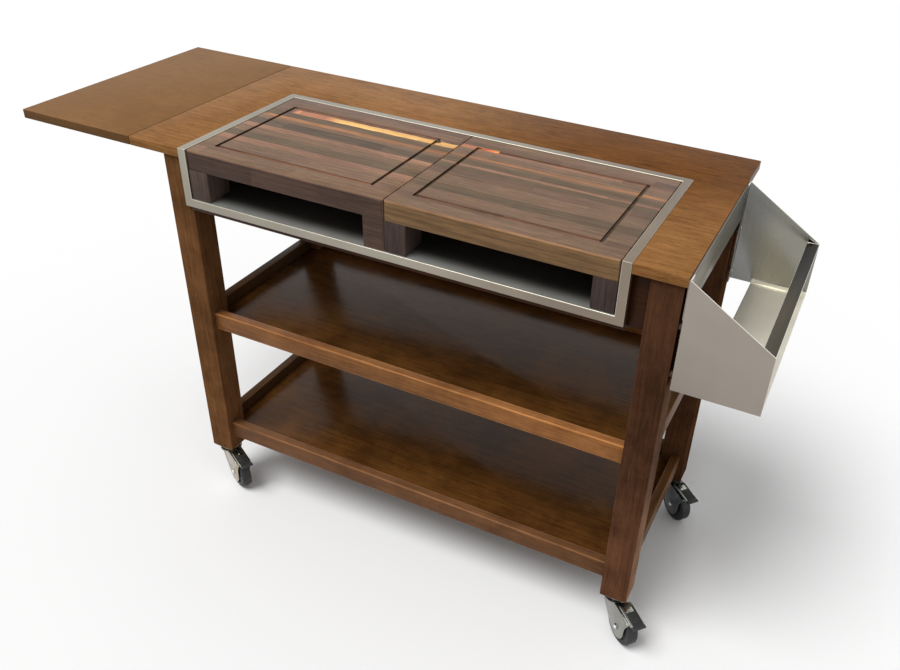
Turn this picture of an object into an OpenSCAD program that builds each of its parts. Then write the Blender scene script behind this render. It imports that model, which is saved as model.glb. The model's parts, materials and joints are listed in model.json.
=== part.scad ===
// Cheese trolley: a wooden trolley on four braked castors. A steel tray let into
// the top carries two walnut boards. A leaf folds down at the left end and a
// steel rack hangs on the right end. Lengths are in millimetres, +Z is up and
// the front faces -Y.

/* [Frame] */
// Width of each square leg
leg_w = 60; // [54:1:64]
// Length over the legs
frame_l = 1116; // [1000:2:1240]
// Depth over the legs
frame_d = 490; // [460:2:560]
// Height of the top surface above the floor
top_h = 924; // [860:2:980]
// Set-back of rails and aprons from the outer faces of the legs
set_back = 13; // [8:1:16]
// Thickness of the apron boards
apron_t = 20; // [16:1:22]
// Eased edge on legs and rails
ease = 1.5; // [0.5:0.1:2.5]

/* [Top] */
// Thickness of the top board and of the leaf
top_t = 20; // [18:1:26]
// Overhang of the top past the front faces of the legs
over_front = 5; // [3:0.5:10]
// Overhang past the rear faces of the legs
over_back = 78; // [40:1:100]
// Overhang past the right-hand legs
over_right = 5; // [3:0.5:10]
// Overhang past the left-hand legs, up to the seam
over_left = 85; // [70:1:110]
// Length of the drop leaf
leaf_l = 305; // [260:5:360]
// Gap between the top and the leaf
seam_gap = 1.5; // [1:0.1:2.5]

/* [Steel tray] */
// Thickness of the tray sheet
tray_sheet = 1.5; // [1:0.1:2]
// Depth from the top surface to the tray floor
tray_depth = 108.5; // [90:0.5:130]
// Width of the turned-out flange
flange_w = 18; // [12:1:22]
// Gap between the left leg and the outside of the tray
tray_leg_gap = 4; // [3:0.5:8]
// From the tray opening to the right end of the frame
right_bay = 111.5; // [106:0.5:140]
// From the tray opening to the rear of the frame
rear_bay = 118; // [110:1:150]
// Thickness of the boards of the box around the tray
box_t = 18; // [12:1:20]
// Thickness of the board under the tray
box_bottom_t = 24; // [18:1:30]

/* [Boards] */
// Gap around and between the two boards
board_gap = 2; // [1:0.5:4]
// Height of a board from its feet to its top
board_h = 109.5; // [90:0.5:130]
// Thickness of the slab
slab_t = 43; // [30:1:50]
// Set-back of a board's front from the outside of the tray
board_set_back = 2.5; // [1:0.5:6]
// Width of a foot along the front
foot_w = 46; // [36:1:60]
// Depth of a foot
foot_d = 64; // [50:1:90]
// Round in the corner between the slab and a foot that is one piece with it
foot_round = 4; // [2:1:16]
// Width of the juice groove
groove_w = 8; // [5:0.5:12]
// Depth of the juice groove
groove_depth = 4; // [2:0.5:7]
// Margin from a board's left edge to its groove
groove_left = 36; // [26:1:50]
// Margin from the right edge
groove_right = 48; // [26:1:60]
// Margin from the front edge
groove_front = 44; // [26:1:60]
// Margin from the back edge
groove_back = 50; // [26:1:60]

/* [Shelves] */
// Height of a shelf rail
rail_h = 43; // [36:1:56]
// Thickness of a shelf rail
rail_t = 21; // [16:1:24]
// Depth of the shelf panel below the top of the rails
recess = 28; // [14:1:32]
// Thickness of a shelf panel
panel_t = 10; // [6:1:12]
// Height of the middle shelf's rail tops above the floor
middle_top = 520; // [440:5:600]
// Height of the lower shelf's rail tops above the floor
lower_top = 196; // [180:2:260]

/* [Rack] */
// Thickness of the rack sheet
rack_sheet = 2; // [1.2:0.1:3]
// How far the rack reaches past the end of the top
rack_reach = 163; // [120:1:220]
// Drop from the top surface to the rack's inner top corner
rack_drop = 4; // [2:1:12]
// Height of a side panel at the trolley
rack_inner_h = 224; // [180:2:280]
// Height of a side panel at its outer edge
rack_outer_h = 122; // [80:2:160]
// Height of the strip on the end of the top
strip_h = 78; // [50:1:110]
// From the rear side panel to the rear of the frame
rack_rear_inset = 31; // [28:1:44]
// Width of the mounting flanges
rack_flange = 23; // [18:1:30]
// Width of the floor of the rack
rack_floor_w = 115; // [80:1:140]
// Width of the outer bar of the rack
rack_bar_w = 24; // [15:1:40]
// Height of the turned-up ends of floor and bar
rack_lip = 10; // [6:1:16]
// Radius of a mounting screw
screw_r = 2.5; // [2:0.1:3]

/* [Leaf brackets] */
// Distance of each bracket from the front and back edges of the leaf
bracket_inset = 110; // [70:5:180]
// Length of the arm under the leaf
arm_l = 180; // [120:5:230]
// Length of the fixed part under the top
fixed_l = 60; // [45:1:66]
// Outer width of the fixed channel
channel_w = 32; // [26:1:40]
// Height of the channels
channel_h = 14; // [11:1:18]
// Thickness of the bracket sheet
bracket_sheet = 2; // [1.5:0.1:2.5]
// Radius of the bracket pin
pin_r = 2.5; // [2:0.1:3]
// Depth of the pin below the top board
pin_drop = 4; // [3.6:0.1:5]

/* [Castors] */
// Diameter of a wheel
wheel_d = 90; // [75:1:110]
// Width of a tyre
tyre_w = 24; // [20:1:30]
// Radial thickness of a tyre
tyre_t = 14; // [9:1:18]
// From the swivel axis to the axle
trail = 42.5; // [36:0.5:52]
// Radius of the round crown of the fork
crown_r = 27; // [24:1:29]
// Thickness of the fork's side plates
cheek_t = 2.5; // [2:0.1:4]
// Gap between a tyre and a side plate
cheek_gap = 3; // [2:0.5:5]
// Radius of the rounded lower end of a side plate
lobe_r = 27; // [20:1:32]
// Radius of the axle bolt
axle_r = 4; // [3:0.5:5]
// Reach of the brake pedal past the axle
pedal_reach = 60; // [54:1:70]
// Where each wheel points, front left
swing_fl = -28; // [-180:1:180]
// Where each wheel points, front right
swing_fr = -41; // [-180:1:180]
// Where each wheel points, rear left
swing_rl = -35; // [-180:1:180]
// Where each wheel points, rear right
swing_rr = -41; // [-180:1:180]

/* [Hidden] */
$fn = 64;
eps = 0.01;
running = 0.05;   // radial clearance of a shaft in its bore

// colours
dark_wood = "#5a3826";
top_wood = "#8f5e3b";
leaf_wood = "#96704a";
walnut = "#7d6355";
steel = "#b9b6ad";
chrome = "#c9ccce";
rubber = "#2c2d2f";

// castor stack, from the floor up
axle_z = wheel_d / 2;
wheel_clear = 6;                          // wheel top to crown
crown_t = 3;
crown_z = wheel_d + wheel_clear;          // underside of the crown
crown_top = crown_z + crown_t;
race_low_h = 4.5;
race_gap = 0.5;
race_up_h = 6;
mount_t = 3;
race_z = crown_top + race_low_h + race_gap;
leg_z = race_z + race_up_h + mount_t;     // underside of the legs
mount_w = leg_w - 4;
race_r = 22;
king_r = 5;
king_head_r = 9;
king_head_t = 3;
king_z = crown_z - race_gap - king_head_t;
fork_in = tyre_w / 2 + cheek_gap;         // half the gap between the side plates
fork_out = fork_in + cheek_t;
hub_r = wheel_d / 2 - tyre_t;
hub_web_w = tyre_w - 6;
boss_r = 9;
tyre_round = 4;
boss_half = fork_in - 0.3;
axle_head_r = 7;
axle_head_t = 3;
lead_drop = 8;                            // straight part of the leading edge
nose_u = trail + wheel_d * 4 / 9;         // trailing corner of a side plate
nose_z = wheel_d + 1;
heel_u = trail + wheel_d * 0.328;         // where the trailing edge turns down
heel_z = wheel_d * 0.77;
hood_u = crown_r + 6;                     // end of the hood between the plates

// brake pedal, between the side plates
pivot_u = trail + wheel_d * 11 / 45;
pivot_z = wheel_d + 0.5;
pivot_r = 2;
pivot_boss_r = 4.5;
pedal_t = 2;
pedal_out = fork_in - 0.5;
pedal_in = pedal_out - pedal_t;
pedal_back_u = crown_r + 8;
pad_nose = 9;                             // pad beyond the end of the pedal's walls
pad_lap = 2;                              // pad under the end of the pedal's plate
pedal_end_u = trail + pedal_reach;        // end of the pad's nose
pedal_tip_u = pedal_end_u - pad_nose;
pedal_back_z = crown_top + 4.5;
pedal_slope = 0.09;
pedal_rim = 3;                            // rim above the plate
pedal_skirt = 5;                          // wall below the plate
rim_start = pedal_back_u + 10;
tip_slant = 3;
pad_t = 1.6;
pad_gap = 1;
shoe_u = pivot_u + 6;
shoe_l = 8;
shoe_drop = 16;
shoe_gap = 3;                             // released shoe to the tyre
function pedal_z(u) = pedal_back_z - pedal_slope * (u - pedal_back_u);

// levels and edges
top_z = top_h - top_t;                    // underside of the top
tray_z = top_h - tray_depth;              // upper face of the tray floor
box_top_z = tray_z - tray_sheet;
box_z = box_top_z - box_bottom_t;         // underside of box and aprons
top_x0 = -over_left;
top_x1 = frame_l + over_right;
top_y0 = -over_front;
top_y1 = frame_d + over_back;
leaf_x1 = top_x0 - seam_gap;
leaf_x0 = leaf_x1 - leaf_l;

// tray opening
open_x0 = leg_w + tray_leg_gap + tray_sheet;
open_x1 = frame_l - right_bay;
open_y1 = frame_d - rear_bay;
tray_y0 = top_y0 - tray_sheet;
flange_x0 = open_x0 - flange_w;
flange_x1 = open_x1 + flange_w;
flange_y1 = open_y1 + flange_w;
flange_z = tray_z - flange_w;
notch_gap = 4;                            // tray wall to the cut-out in the top
box_x0 = leg_w + 2;                       // inner face of the left box board
box_x1 = open_x1 + tray_sheet + 1;
box_y1 = open_y1 + tray_sheet + 18;

// boards
board_l = (open_x1 - open_x0 - 3 * board_gap) / 2;
board_y0 = tray_y0 + board_set_back;
board_y1 = open_y1 - board_gap;
board_z1 = tray_z + board_h;
slab_z = board_z1 - slab_t;

// rack
rack_x0 = top_x1;
rack_x1 = rack_x0 + rack_reach;
rack_y0 = top_y0;
rack_y1 = frame_d - rack_rear_inset;
rack_z1 = top_h - rack_drop;
rack_z0 = rack_z1 - rack_inner_h;
rack_zo = rack_z0 + rack_outer_h;
side_x0 = rack_x0 + rack_sheet;
screw_drop = [98, 198];                   // screws below the rack's inner top corner
screw_head_r = screw_r + 1.8;
screw_head_t = 2;
spacer_r = screw_r + 4;
function rack_edge(x) = rack_z1 - (rack_z1 - rack_zo) * (x - side_x0) / (rack_x1 - side_x0);

// leaf bracket pin
pin_x = top_x0 - seam_gap / 2;
pin_z = top_z - pin_drop;
knuckle_r = pin_drop - 0.2;
pin_head_t = 1.5;
channel_gap = 0.5;
arm_w = channel_w - 2 * bracket_sheet - 2 * channel_gap;
web_start = channel_h + 2;                // arm web starts this far from the pin
bracket_y = [top_y0 + bracket_inset, top_y1 - bracket_inset];

// castor places
corner_x = [leg_w / 2, frame_l - leg_w / 2, leg_w / 2, frame_l - leg_w / 2];
corner_y = [leg_w / 2, leg_w / 2, frame_d - leg_w / 2, frame_d - leg_w / 2];
swing = [swing_fl, swing_fr, swing_rl, swing_rr];

// the model's origin is the middle of its own footprint
function tip_y(i, side) = corner_y[i] + pedal_end_u * sin(swing[i]) + side * pedal_out * cos(swing[i]);
front_y = min([for (i = [0:3], side = [-1, 1]) tip_y(i, side)]);
mid_x = (leaf_x0 + rack_x1) / 2;
mid_y = (min(front_y, tray_y0) + top_y1) / 2;

// ---------------------------------------------------------------- helpers

module placed() translate([-mid_x, -mid_y, 0]) children();

module block(x, y, z) translate([x[0], y[0], z[0]]) cube([x[1] - x[0], y[1] - y[0], z[1] - z[0]]);

// rectangle with its four corners eased
module eased(w, h, e) polygon([
  [e, 0], [w - e, 0], [w, e], [w, h - e], [w - e, h], [e, h], [0, h - e], [0, e]
]);

// a profile in the X-Z plane, drawn from y[0] to y[1]
module along_y(y) translate([0, y[1], 0]) rotate([90, 0, 0]) linear_extrude(y[1] - y[0]) children();

module at_castor(i) placed() translate([corner_x[i], corner_y[i], 0]) rotate([0, 0, swing[i]]) children();

function dist(a, b) = norm(b - a);
// where the line from p touches the circle at c, on the side given by s
function touch(p, c, r, s) = let (
  d = dist(p, c),
  a = atan2(c[1] - p[1], c[0] - p[0]) + s * asin(r / d),
  l = sqrt(d * d - r * r)
) [p[0] + l * cos(a), p[1] + l * sin(a)];

// ---------------------------------------------------------------- frame

module leg(x, y) color(dark_wood) placed()
  translate([x, y, leg_z]) linear_extrude(top_z - leg_z) eased(leg_w, leg_w, ease);

module leg_front_left() leg(0, 0);
module leg_front_right() leg(frame_l - leg_w, 0);
module leg_rear_left() leg(0, frame_d - leg_w);
module leg_rear_right() leg(frame_l - leg_w, frame_d - leg_w);

module apron_side(x) color(dark_wood) placed()
  block([x, x + apron_t], [leg_w, frame_d - leg_w], [box_z, top_z]);
module apron_left() apron_side(set_back);
module apron_right() apron_side(frame_l - set_back - apron_t);
module apron_rear() color(dark_wood) placed()
  block([leg_w, frame_l - leg_w], [frame_d - set_back - apron_t, frame_d - set_back], [box_z, top_z]);
module apron_front_right() color(dark_wood) placed()
  block([box_x1 + box_t, frame_l - leg_w], [set_back, set_back + apron_t], [box_z, top_z]);

// ---------------------------------------------------------------- top and leaf

module main_top() color(top_wood) placed() difference() {
  block([top_x0, top_x1], [top_y0, top_y1], [top_z, top_h]);
  block([open_x0 - tray_sheet - notch_gap, open_x1 + tray_sheet + notch_gap],
        [top_y0 - 1, open_y1 + tray_sheet + notch_gap], [top_z - 1, top_h + 1]);
}

module drop_leaf() color(leaf_wood) placed()
  block([leaf_x0, leaf_x1], [top_y0, top_y1], [top_z, top_h]);

// ---------------------------------------------------------------- tray and its box

module tray_box_walls() color(dark_wood) placed() {
  block([box_x0 - box_t, box_x0], [leg_w, box_y1 - eps], [box_z, top_z]);
  block([box_x1, box_x1 + box_t], [top_y0, box_y1 - eps], [box_z, top_z]);
  block([box_x0 - box_t, box_x1 + box_t], [box_y1, box_y1 + box_t], [box_z, top_z]);
}

module tray_box_bottom() color(dark_wood) placed()
  block([box_x0, box_x1], [top_y0, box_y1], [box_z, box_top_z]);

// pressed from sheet: floor, three walls, a flange on the top and one down the front
module steel_tray() color(steel) placed() {
  s = tray_sheet;
  difference() {
    union() {
      block([open_x0 - s, open_x1 + s], [tray_y0, open_y1 + s], [tray_z - s, top_h + s]);
      block([flange_x0, flange_x1], [tray_y0, flange_y1], [top_h, top_h + s]);
      block([flange_x0, flange_x1], [tray_y0, top_y0], [flange_z, top_h + s]);
    }
    block([open_x0, open_x1], [tray_y0 - 1, open_y1], [tray_z, top_h + s + 1]);
  }
}

// ---------------------------------------------------------------- boards

function board_x(i) = open_x0 + board_gap + i * (board_l + board_gap);

// slab with its juice groove. Where whole_feet is true, the feet at its right are one piece
// with the slab, and where it is false they are blocks like those at the left
module board(i, whole_feet) color(walnut) placed() translate([board_x(i), board_y0, 0]) {
  d = board_y1 - board_y0;
  difference() {
    union() {
      block([0, board_l], [0, d], [slab_z, board_z1]);
      if (whole_feet) for (y = [0, d - foot_d]) {
        block([board_l - foot_w, board_l], [y, y + foot_d], [tray_z, slab_z + 1]);
        along_y([y, y + foot_d]) difference() {
          translate([board_l - foot_w - foot_round, slab_z - foot_round]) square(foot_round + 1);
          translate([board_l - foot_w - foot_round, slab_z - foot_round]) circle(foot_round);
        }
      }
    }
    difference() {
      block([groove_left, board_l - groove_right], [groove_front, d - groove_back],
            [board_z1 - groove_depth, board_z1 + 1]);
      block([groove_left + groove_w, board_l - groove_right - groove_w],
            [groove_front + groove_w, d - groove_back - groove_w],
            [board_z1 - groove_depth - 1, board_z1 + 2]);
    }
  }
}

// foot blocks that stand under the slab, each from the x in left_edges
module board_feet(i, left_edges) color(walnut) placed() translate([board_x(i), board_y0, 0])
  for (x = left_edges)
    for (y = [0, board_y1 - board_y0 - foot_d])
      block([x, x + foot_w], [y, y + foot_d], [tray_z, slab_z]);

module board_left() board(0, true);
module board_right() board(1, false);
module board_left_feet() board_feet(0, [0]);
module board_right_feet() board_feet(1, [0, board_l - foot_w]);

// ---------------------------------------------------------------- shelves

module rail_x(y, z) color(dark_wood) placed()
  translate([leg_w, y, z - rail_h]) rotate([90, 0, 90]) linear_extrude(frame_l - 2 * leg_w)
    eased(rail_t, rail_h, ease);
module rail_y(x, z) color(dark_wood) placed()
  translate([x, frame_d - leg_w, z - rail_h]) rotate([90, 0, 0]) linear_extrude(frame_d - 2 * leg_w)
    eased(rail_t, rail_h, ease);
module panel(z) color(dark_wood) placed() difference() {
  block([set_back + rail_t, frame_l - set_back - rail_t],
        [set_back + rail_t, frame_d - set_back - rail_t],
        [z - recess - panel_t, z - recess]);
  // corners cut out round the legs
  for (x = [0, frame_l - leg_w], y = [0, frame_d - leg_w])
    block([x, x + leg_w], [y, y + leg_w], [z - recess - panel_t - 1, z - recess + 1]);
}

module middle_panel() panel(middle_top);
module middle_rail_front() rail_x(set_back, middle_top);
module middle_rail_rear() rail_x(frame_d - set_back - rail_t, middle_top);
module middle_rail_left() rail_y(set_back, middle_top);
module middle_rail_right() rail_y(frame_l - set_back - rail_t, middle_top);
module lower_panel() panel(lower_top);
module lower_rail_front() rail_x(set_back, lower_top);
module lower_rail_rear() rail_x(frame_d - set_back - rail_t, lower_top);
module lower_rail_left() rail_y(set_back, lower_top);
module lower_rail_right() rail_y(frame_l - set_back - rail_t, lower_top);

// ---------------------------------------------------------------- rack

// side panel with its mounting flange turned inwards
module rack_side(y0, flange_y, hole_y) color(steel) placed() {
  s = rack_sheet;
  difference() {
    union() {
      along_y([y0, y0 + s]) polygon([
        [side_x0, rack_z0], [rack_x1, rack_z0], [rack_x1, rack_zo], [side_x0, rack_z1]
      ]);
      block([side_x0, side_x0 + s], flange_y, [rack_z0, rack_z1]);
    }
    for (drop = screw_drop)
      translate([side_x0 - 1, hole_y, rack_z1 - drop]) rotate([0, 90, 0])
        cylinder(r = screw_r + 0.2, h = s + 2);
  }
}

front_flange = [rack_y0 + rack_sheet, rack_y0 + rack_sheet + rack_flange];
rear_flange = [rack_y1 - rack_sheet - rack_flange, rack_y1 - rack_sheet];
front_hole_y = (front_flange[0] + front_flange[1]) / 2;
rear_hole_y = (rear_flange[0] + rear_flange[1]) / 2;
module rack_side_front() rack_side(rack_y0, front_flange, front_hole_y);
module rack_side_rear() rack_side(rack_y1 - rack_sheet, rear_flange, rear_hole_y);

module rack_strip() color(steel) placed()
  block([rack_x0, side_x0], [rack_y0, rack_y1], [rack_z1 - strip_h, rack_z1]);

// a strip between the side panels with its ends turned up
module turned_strip(x0, z, lip_top) color(steel) placed() {
  s = rack_sheet;
  y = [rack_y0 + s, rack_y1 - s];
  block([x0, rack_x1], y, [z, z + s]);
  for (end = [[y[0], y[0] + s], [y[1] - s, y[1]]])
    along_y(end) polygon([[x0, z], [rack_x1, z], [rack_x1, lip_top[1]], [x0, lip_top[0]]]);
}

module rack_floor() turned_strip(rack_x1 - rack_floor_w, rack_z0, [rack_z0 + rack_lip, rack_z0 + rack_lip]);
module rack_bar() turned_strip(rack_x1 - rack_bar_w, rack_zo - rack_sheet,
  [min(rack_edge(rack_x1 - rack_bar_w), rack_zo + rack_lip), rack_zo]);

// pan-head screws into the legs, each with its spacer
module rack_screws() color(steel) placed()
  for (y = [front_hole_y, rear_hole_y], drop = screw_drop)
    translate([frame_l, y, rack_z1 - drop]) rotate([0, 90, 0]) {
      reach = side_x0 - frame_l;
      cylinder(r = spacer_r, h = reach);
      cylinder(r = screw_r, h = reach + rack_sheet + eps);
      translate([0, 0, reach + rack_sheet]) cylinder(r = screw_head_r, h = screw_head_t);
    }

// ---------------------------------------------------------------- leaf brackets

// one side plate of a channel, from the pin outwards
module channel_cheek(y, l, dir, bore) along_y(y) difference() {
  union() {
    translate([pin_x, pin_z]) circle(knuckle_r);
    polygon([
      [pin_x, pin_z + knuckle_r], [pin_x, pin_z - knuckle_r],
      [pin_x + dir * (channel_h - pin_drop - knuckle_r), top_z - channel_h],
      [pin_x + dir * (l - channel_h / 2), top_z - channel_h],
      [pin_x + dir * l, top_z - channel_h / 2], [pin_x + dir * l, top_z],
      [pin_x + dir * knuckle_r, top_z], [pin_x + dir * knuckle_r, pin_z + knuckle_r]
    ]);
  }
  translate([pin_x, pin_z]) circle(bore);
}

module bracket_fixed() color(chrome) placed() for (y = bracket_y) {
  s = bracket_sheet;
  w = channel_w / 2;
  channel_cheek([y - w, y - w + s], fixed_l, 1, pin_r - eps);
  channel_cheek([y + w - s, y + w], fixed_l, 1, pin_r - eps);
  block([pin_x + web_start, pin_x + fixed_l], [y - w + s - eps, y + w - s + eps], [top_z - s, top_z]);
  translate([pin_x, y + w + pin_head_t, pin_z]) rotate([90, 0, 0])
    cylinder(r = pin_r, h = channel_w + 2 * pin_head_t);
  for (side = [y - w, y + w + pin_head_t])
    translate([pin_x, side, pin_z]) rotate([90, 0, 0]) cylinder(r = knuckle_r, h = pin_head_t);
}

module bracket_arms() color(chrome) placed() for (y = bracket_y) {
  s = bracket_sheet;
  w = arm_w / 2;
  channel_cheek([y - w, y - w + s], arm_l, -1, pin_r + running);
  channel_cheek([y + w - s, y + w], arm_l, -1, pin_r + running);
  block([pin_x - arm_l, pin_x - web_start], [y - w + s - eps, y + w - s + eps], [top_z - s, top_z]);
}

// ---------------------------------------------------------------- castors

// top plate, upper race and king pin, fixed under the leg
module castor_plate(i) color(chrome) at_castor(i) {
  rotate([0, 0, -swing[i]]) translate([-mount_w / 2, -mount_w / 2, leg_z - mount_t])
    linear_extrude(mount_t) eased(mount_w, mount_w, 4);
  translate([0, 0, race_z]) cylinder(r = race_r, h = race_up_h + eps);
  translate([0, 0, king_z]) cylinder(r = king_r, h = race_z - king_z + 1);
  translate([0, 0, king_z]) cylinder(r = king_head_r, h = king_head_t);
}

// side plate of the fork, in the plane of the wheel
module cheek_outline() {
  c = [trail, axle_z];
  lead = [-crown_r, crown_z - lead_drop];
  heel = [heel_u, heel_z];
  translate(c) circle(lobe_r);
  polygon([
    [-crown_r, crown_top], lead, touch(lead, c, lobe_r, -1), c, touch(heel, c, lobe_r, 1),
    heel, [nose_u, nose_z], [nose_u - 1, nose_z + 2], [hood_u, crown_top]
  ]);
}

// a round bar across the fork, from -half to +half
module cross_bar(u, z, r, half) translate([u, half, z]) rotate([90, 0, 0]) cylinder(r = r, h = 2 * half);

module castor_fork(i) color(chrome) at_castor(i) {
  difference() {
    union() {
      translate([0, 0, crown_z]) cylinder(r = crown_r, h = crown_t);
      translate([0, 0, crown_z]) cylinder(r = race_r - 2, h = crown_t + race_low_h);
      block([0, hood_u], [-fork_in - eps, fork_in + eps], [crown_z, crown_top]);
      for (y = [-fork_out, fork_in]) along_y([y, y + cheek_t]) cheek_outline();
    }
    translate([0, 0, crown_z - 1]) cylinder(r = king_r + running, h = crown_t + race_low_h + 2);
  }
  // pin of the brake pedal, riveted over outside the side plates
  cross_bar(pivot_u, pivot_z, pivot_r, fork_out + 1);
  // axle bolt with its head and nut
  cross_bar(trail, axle_z, axle_r, fork_out + axle_head_t);
  for (y = [-fork_out - axle_head_t, fork_out])
    translate([trail, y + axle_head_t, axle_z]) rotate([90, 0, 0])
      cylinder(r = axle_head_r, h = axle_head_t);
}

module tyre(i) color(rubber) at_castor(i)
  translate([trail, 0, axle_z]) rotate([90, 0, 0]) rotate_extrude($fn = 96)
    translate([hub_r, -tyre_w / 2]) polygon(concat(
      [[0, 0]],
      [for (a = [-90:15:0]) tyre_corner(a, tyre_round)],
      [for (a = [0:15:90]) tyre_corner(a, tyre_w - tyre_round)],
      [[0, tyre_w]]
    ));
function tyre_corner(a, y) = [tyre_t - tyre_round + tyre_round * cos(a), y + tyre_round * sin(a)];

module hub(i) color(rubber) at_castor(i)
  translate([trail, 0, axle_z]) rotate([90, 0, 0]) rotate_extrude($fn = 96) polygon([
    [axle_r + running, -boss_half], [boss_r, -boss_half], [boss_r, -hub_web_w / 2],
    [hub_r, -hub_web_w / 2], [hub_r, hub_web_w / 2], [boss_r, hub_web_w / 2],
    [boss_r, boss_half], [axle_r + running, boss_half]
  ]);

// outline of one wall of the pedal, with its boss round the pin
module pedal_wall() {
  z0 = pedal_z(pedal_back_u);
  z1 = pedal_z(pedal_tip_u);
  translate([pivot_u, pivot_z]) circle(pivot_boss_r);
  polygon([
    [pedal_back_u, z0], [pedal_back_u, z0 - pedal_t], [pivot_u - pivot_boss_r, pivot_z],
    [pivot_u + pivot_boss_r, pivot_z], [pedal_tip_u - tip_slant, z1 - pedal_skirt],
    [pedal_tip_u, z1 + pedal_rim - 1], [pedal_tip_u - 1, z1 + pedal_rim],
    [rim_start, pedal_z(rim_start) + pedal_rim]
  ]);
}

module brake_pedal(i) color(chrome) at_castor(i) difference() {
  union() {
    for (y = [-pedal_out, pedal_in]) along_y([y, y + pedal_t]) pedal_wall();
    along_y([-pedal_in - eps, pedal_in + eps]) polygon([
      [pedal_back_u, pedal_z(pedal_back_u) - pedal_t], [pedal_back_u, pedal_z(pedal_back_u)],
      [pedal_tip_u - 1, pedal_z(pedal_tip_u - 1)], [pedal_tip_u - 1, pedal_z(pedal_tip_u - 1) - pedal_t]
    ]);
    // brake shoe under the plate
    along_y([-pedal_in - eps, pedal_in + eps]) difference() {
      polygon([
        [shoe_u, pedal_z(shoe_u) - pedal_t / 2], [shoe_u + shoe_l, pedal_z(shoe_u + shoe_l) - pedal_t / 2],
        [shoe_u + shoe_l, pedal_z(shoe_u) - shoe_drop], [shoe_u, pedal_z(shoe_u) - shoe_drop]
      ]);
      translate([trail, axle_z]) circle(wheel_d / 2 + shoe_gap);
    }
  }
  cross_bar(pivot_u, pivot_z, pivot_r + running, pedal_out + 1);
}

// pad on the plate, with a nose as wide as the pedal beyond the walls' ends
module pedal_pad(i) color(rubber) at_castor(i) {
  tip = pedal_tip_u;
  end = pedal_end_u;
  top = pedal_z(tip) + pad_t;
  low = pedal_z(end) - pedal_t - pad_lap;
  along_y([-pedal_in + pad_gap, pedal_in - pad_gap]) polygon([
    [rim_start, pedal_z(rim_start)], [tip + eps, pedal_z(tip + eps)],
    [tip + eps, top], [rim_start, pedal_z(rim_start) + pad_t]
  ]);
  along_y([-pedal_out, pedal_out]) polygon([
    [tip, low + 1], [end - 2, low], [end, low + 2], [end, pedal_z(end) + 1], [end - 2, top], [tip, top]
  ]);
}

module castor_plate_fl() castor_plate(0);
module castor_plate_fr() castor_plate(1);
module castor_plate_rl() castor_plate(2);
module castor_plate_rr() castor_plate(3);
module castor_fork_fl() castor_fork(0);
module castor_fork_fr() castor_fork(1);
module castor_fork_rl() castor_fork(2);
module castor_fork_rr() castor_fork(3);
module tyre_fl() tyre(0);
module tyre_fr() tyre(1);
module tyre_rl() tyre(2);
module tyre_rr() tyre(3);
module hub_fl() hub(0);
module hub_fr() hub(1);
module hub_rl() hub(2);
module hub_rr() hub(3);
module brake_pedal_fl() brake_pedal(0);
module brake_pedal_fr() brake_pedal(1);
module brake_pedal_rl() brake_pedal(2);
module brake_pedal_rr() brake_pedal(3);
module pedal_pad_fl() pedal_pad(0);
module pedal_pad_fr() pedal_pad(1);
module pedal_pad_rl() pedal_pad(2);
module pedal_pad_rr() pedal_pad(3);

// ---------------------------------------------------------------- the nodes

leg_front_left();
leg_front_right();
leg_rear_left();
leg_rear_right();
apron_left();
apron_right();
apron_rear();
apron_front_right();
main_top();
drop_leaf();
tray_box_walls();
tray_box_bottom();
steel_tray();
board_left();
board_left_feet();
board_right();
board_right_feet();
middle_panel();
middle_rail_front();
middle_rail_rear();
middle_rail_left();
middle_rail_right();
lower_panel();
lower_rail_front();
lower_rail_rear();
lower_rail_left();
lower_rail_right();
rack_side_front();
rack_side_rear();
rack_strip();
rack_floor();
rack_bar();
rack_screws();
bracket_fixed();
bracket_arms();
castor_plate_fl();
castor_plate_fr();
castor_plate_rl();
castor_plate_rr();
castor_fork_fl();
castor_fork_fr();
castor_fork_rl();
castor_fork_rr();
tyre_fl();
tyre_fr();
tyre_rl();
tyre_rr();
hub_fl();
hub_fr();
hub_rl();
hub_rr();
brake_pedal_fl();
brake_pedal_fr();
brake_pedal_rl();
brake_pedal_rr();
pedal_pad_fl();
pedal_pad_fr();
pedal_pad_rl();
pedal_pad_rr();
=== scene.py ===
# %% [markdown]
# # A cheese trolley
#
# The trolley's construction comes packed as a fixed frame: every board, sheet and
# castor part is already at its real size and place. This lesson gives each of them its
# surface. Plain solids look like toys for two reasons: their edges are knife sharp, and
# their surfaces are one flat colour. So the finishes are made first, with the grain,
# brushing and gloss of the real thing. Then each piece gets rounded arrises and its
# finish, and rides on the body that carries it, so that the joints move it.

# %% Load the frame
import json
from math import atan2, radians

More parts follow.
